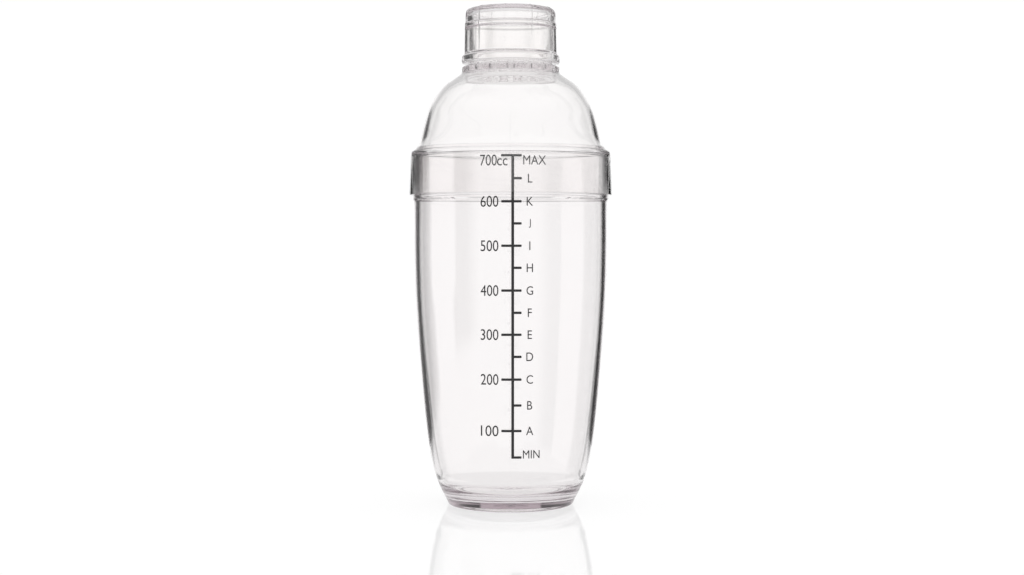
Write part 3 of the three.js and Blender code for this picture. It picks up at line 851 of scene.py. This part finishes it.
def printing_ink(name):
    """Screen-printed black ink: slightly uneven cover, matt, with a fine grain."""
    material, nodes, links, surface, _ = shader(name)
    cover = noise(nodes, links, scale=900.0, detail=4.0, roughness=0.6)
    colour = nodes.new("ShaderNodeMix")
    colour.data_type = "RGBA"
    links.new(cover, colour.inputs["Factor"])
    colour.inputs["A"].default_value = INK_BLACK
    colour.inputs["B"].default_value = INK_WORN
    links.new(colour.outputs["Result"], surface.inputs["Base Color"])
    rough = spread(nodes, links, cover, low=0.3, high=0.7, to_low=0.45, to_high=0.65)
    links.new(rough, surface.inputs["Roughness"])
    bump = nodes.new("ShaderNodeBump")
    bump.inputs["Strength"].default_value = 0.4
    bump.inputs["Distance"].default_value = INK_GRAIN * MM
    links.new(cover, bump.inputs["Height"])
    links.new(bump.outputs["Normal"], surface.inputs["Normal"])
    return material


cup_finish = clear_plastic("clear_cup_plastic", CUP_DEPTH_DENSITY)
lid_finish = clear_plastic("clear_lid_plastic", LID_DEPTH_DENSITY)
cap_finish = clear_plastic("clear_cap_plastic", CAP_DEPTH_DENSITY)
ink_finish = printing_ink("black_scale_ink")

# ---------------------------------------------------------------- the pieces
wall_tree = turned_wall_tree()
cup = baked(outline_object("cup_outline", cup_outline()), wall_tree, "clear_cup", Material=cup_finish)
lid = baked(outline_object("lid_outline", lid_outline()), wall_tree, "clear_strainer_lid",
            Material=lid_finish)
hole_wall = baked(outline_object("hole_outline", hole_outline()), wall_tree, "strainer_hole_wall",
                  Sections=HOLE_SECTIONS, Material=lid_finish)
lid = baked(lid, strainer_plate_tree(), "clear_strainer_lid",
            Ring_Step=(NECK_BORE - STRAINER_RIM - HOLE_RADIUS) / STRAINER_RINGS * MM,
            Upper_Height=STRAINER_TOP_Z * MM, Lower_Height=(STRAINER_TOP_Z - STRAINER_THICKNESS) * MM,
            Hole_Wall=hole_wall, Material=lid_finish)
bpy.data.objects.remove(hole_wall)
cap = baked(outline_object("cap_outline", cap_outline()), wall_tree, "clear_cap", Sections=RIBBED_SECTIONS,
            Rib_Count=float(RIB_COUNT), Rib_Crowding=RIB_CROWDING, Rib_Angle=math.radians(RIB_ANGLE),
            Rib_Proud=RIB_PROUD * MM, Rib_Foot=(CROWN_FOOT_Z - RIB_FOOT_DROP) * MM,
            Rib_Top=(CROWN_TOP_Z - RIB_MARGIN) * MM, Rib_Wall_Radius=(NECK_RADIUS + RIB_MARGIN) * MM,
            Rib_Inner_Radius=(CAP_WALL_RADIUS - CROWN_CORNER) * MM, Material=cap_finish)
scale_marks = baked(tick_points(), scale_lines_tree(), "scale_marks",
                    Foot=(TICKS[-1][0] - LINE_END) * MM, Head=(TICKS[0][0] + LINE_END) * MM)
scale_marks = join(scale_marks, scale_lettering())
cut_in_strips(scale_marks)
capacity_scale = baked(scale_marks, print_tree(), "capacity_scale", Wall=cup, Material=ink_finish)

for piece, node, plastic in ((cup, "cup", "cup_plastic"), (lid, "strainer_lid", "lid_plastic"),
                             (cap, "cap", "cap_plastic")):
    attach(piece, node)
    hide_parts(node)
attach(capacity_scale, "cup")


# ---------------------------------------------------------------- floor, light and camera
FLOOR_EDGE = 0.17  # metres
FLOOR_SECTIONS = 128
FLOOR_DIFFUSE = 0.22
FLOOR_GLOW = 0.645
FLOOR_SHEEN = 0.2
FLOOR_SHEEN_ROUGHNESS = 0.03
# Four windows, ahead, behind, left and right. Widths and elevations are in degrees.
WINDOW_HALF, WINDOW_SOFT = 19.5, 2.5
LOW_WINDOW_HALF = 15.0
LOW_FROM, LOW_FULL = -3.0, -7.0  # the windows narrow between these elevations
WINDOW_TOP, WINDOW_TOP_SOFT = 14.0, 3.0  # where they give way to the sky, and over how far
WINDOW_LEVEL = 1.04
FRONT_LEVEL = 1.0  # windows and gaps alike, towards the front and the right
GAP_TOP, GAP_TOP_SOFT = 11.0, 4.0
GAP_LEFT_LEVEL, GAP_RIGHT_LEVEL = 0.10, 0.04
UNDER_FROM, UNDER_FULL = -9.5, -12.5  # below these elevations the surroundings are pale all round
UNDER_LEVEL = 0.92
SKY_FROM, SKY_FULL = 30.0, 45.0
LOW_SKY_LEVEL, SKY_LEVEL = 0.64, 0.85
SIDE_SOFT = 0.3  # half the width of the change from left to right and from back to front
LENS_LEVEL = 1.02  # what the lens itself sees of the surroundings
LIGHT_BOUNCES = 32
FOCAL_LENGTH, SENSOR_WIDTH = 58.7, 36.0
CAMERA_PLACE = (0.0006, -0.754, 0.115)  # metres
CAMERA_TILT = 1.32  # degrees below level


def pale_floor():
    """A pale disc that glows softly, like a lit table, with a faint sheen."""
    material, nodes, links, surface, output = shader("pale_floor")
    nodes.remove(surface)
    total = None
    for kind, value, rough in (("ShaderNodeBsdfDiffuse", FLOOR_DIFFUSE, None),
                               ("ShaderNodeEmission", FLOOR_GLOW, None),
                               ("ShaderNodeBsdfGlossy", FLOOR_SHEEN, FLOOR_SHEEN_ROUGHNESS)):
        layer = nodes.new(kind)
        layer.inputs["Color"].default_value = (value, value, value, 1.0)
        if rough is not None:
            layer.inputs["Roughness"].default_value = rough
        if total is None:
            total = layer.outputs[0]
        else:
            both = nodes.new("ShaderNodeAddShader")
            links.new(total, both.inputs[0])
            links.new(layer.outputs[0], both.inputs[1])
            total = both.outputs[0]
    links.new(total, output.inputs["Surface"])
    turns = np.linspace(0, 2 * math.pi, FLOOR_SECTIONS + 1)[:-1]
    rim = [(FLOOR_EDGE * math.cos(t), FLOOR_EDGE * math.sin(t), 0.0) for t in turns]
    mesh = bpy.data.meshes.new("floor")
    mesh.from_pydata(rim, [], [tuple(range(len(rim)))])
    mesh.materials.append(material)
    floor = bpy.data.objects.new("floor", mesh)
    bpy.context.scene.collection.objects.link(floor)
    floor.visible_transmission = False


def soft_studio():
    """Surroundings that are pale above and below, with four bright windows at eye level.

    The gaps between the windows draw the plastic's dark outlines. They are dark behind and to the left
    of the object, and fade out towards the front and the right. The lens itself sees plain white.
    """
    world = bpy.data.worlds.new("studio")
    world.use_nodes = True
    bpy.context.scene.world = world
    nodes, links = world.node_tree.nodes, world.node_tree.links
    output = nodes["World Output"]
    back = nodes["Background"]

    def math_node(operation, *values):
        node = nodes.new("ShaderNodeMath")
        node.operation = operation
        for value, socket in zip(values, node.inputs):
            if isinstance(value, bpy.types.NodeSocket):
                links.new(value, socket)
            else:
                socket.default_value = value
        return node.outputs[0]

    def ramp(value, low, high):
        node = nodes.new("ShaderNodeMapRange")
        node.interpolation_type = "SMOOTHSTEP"
        links.new(value, node.inputs["Value"])
        node.inputs["From Min"].default_value = low
        node.inputs["From Max"].default_value = high
        return node.outputs["Result"]

    def blend(share, low, high):
        """low where share is 0 and high where it is 1."""
        return math_node("ADD", low, math_node("MULTIPLY", share, math_node("SUBTRACT", high, low)))

    towards = nodes.new("ShaderNodeSeparateXYZ")
    links.new(nodes.new("ShaderNodeTexCoord").outputs["Generated"], towards.inputs[0])
    x, y, z = towards.outputs
    elevation = math_node("MULTIPLY", math_node("ARCSINE", z), 180 / math.pi)
    aside = math_node("MULTIPLY", math_node("ARCTAN2", math_node("ABSOLUTE", x), math_node("ABSOLUTE", y)),
                      180 / math.pi)
    off_axis = math_node("MINIMUM", aside, math_node("SUBTRACT", 90.0, aside))
    half = blend(ramp(elevation, LOW_FROM, LOW_FULL), WINDOW_HALF, LOW_WINDOW_HALF)
    window = ramp(math_node("SUBTRACT", off_axis, half), WINDOW_SOFT, 0.0)
    front = ramp(math_node("SUBTRACT", x, y), -SIDE_SOFT, SIDE_SOFT)
    sky = blend(ramp(elevation, SKY_FROM, SKY_FULL), LOW_SKY_LEVEL, SKY_LEVEL)
    dark = blend(ramp(x, -SIDE_SOFT, SIDE_SOFT), GAP_LEFT_LEVEL, GAP_RIGHT_LEVEL)
    in_window = blend(ramp(elevation, WINDOW_TOP, WINDOW_TOP + WINDOW_TOP_SOFT),
                      blend(front, WINDOW_LEVEL, FRONT_LEVEL), sky)
    in_gap = blend(ramp(elevation, GAP_TOP, GAP_TOP + GAP_TOP_SOFT), blend(front, dark, FRONT_LEVEL), sky)
    level = blend(ramp(elevation, UNDER_FROM, UNDER_FULL), blend(window, in_gap, in_window), UNDER_LEVEL)
    seen = nodes.new("ShaderNodeLightPath")
    level = blend(seen.outputs["Is Camera Ray"], level, LENS_LEVEL)
    links.new(level, back.inputs["Strength"])
    back.inputs["Color"].default_value = (1.0, 1.0, 1.0, 1.0)
    links.new(back.outputs[0], output.inputs["Surface"])


def studio_camera():
    """A camera in front of the object that looks slightly down."""
    lens = bpy.data.cameras.new("camera")
    lens.lens = FOCAL_LENGTH
    lens.sensor_width = SENSOR_WIDTH
    made = bpy.data.objects.new("camera", lens)
    made.location = CAMERA_PLACE
    made.rotation_euler = (math.radians(90 - CAMERA_TILT), 0.0, 0.0)
    bpy.context.scene.collection.objects.link(made)
    bpy.context.scene.camera = made


pale_floor()
soft_studio()
studio_camera()
view_settings = bpy.context.scene.view_settings
view_settings.view_transform = "Standard"
for bounces in ("max_bounces", "transmission_bounces", "glossy_bounces"):
    setattr(bpy.context.scene.cycles, bounces, LIGHT_BOUNCES)
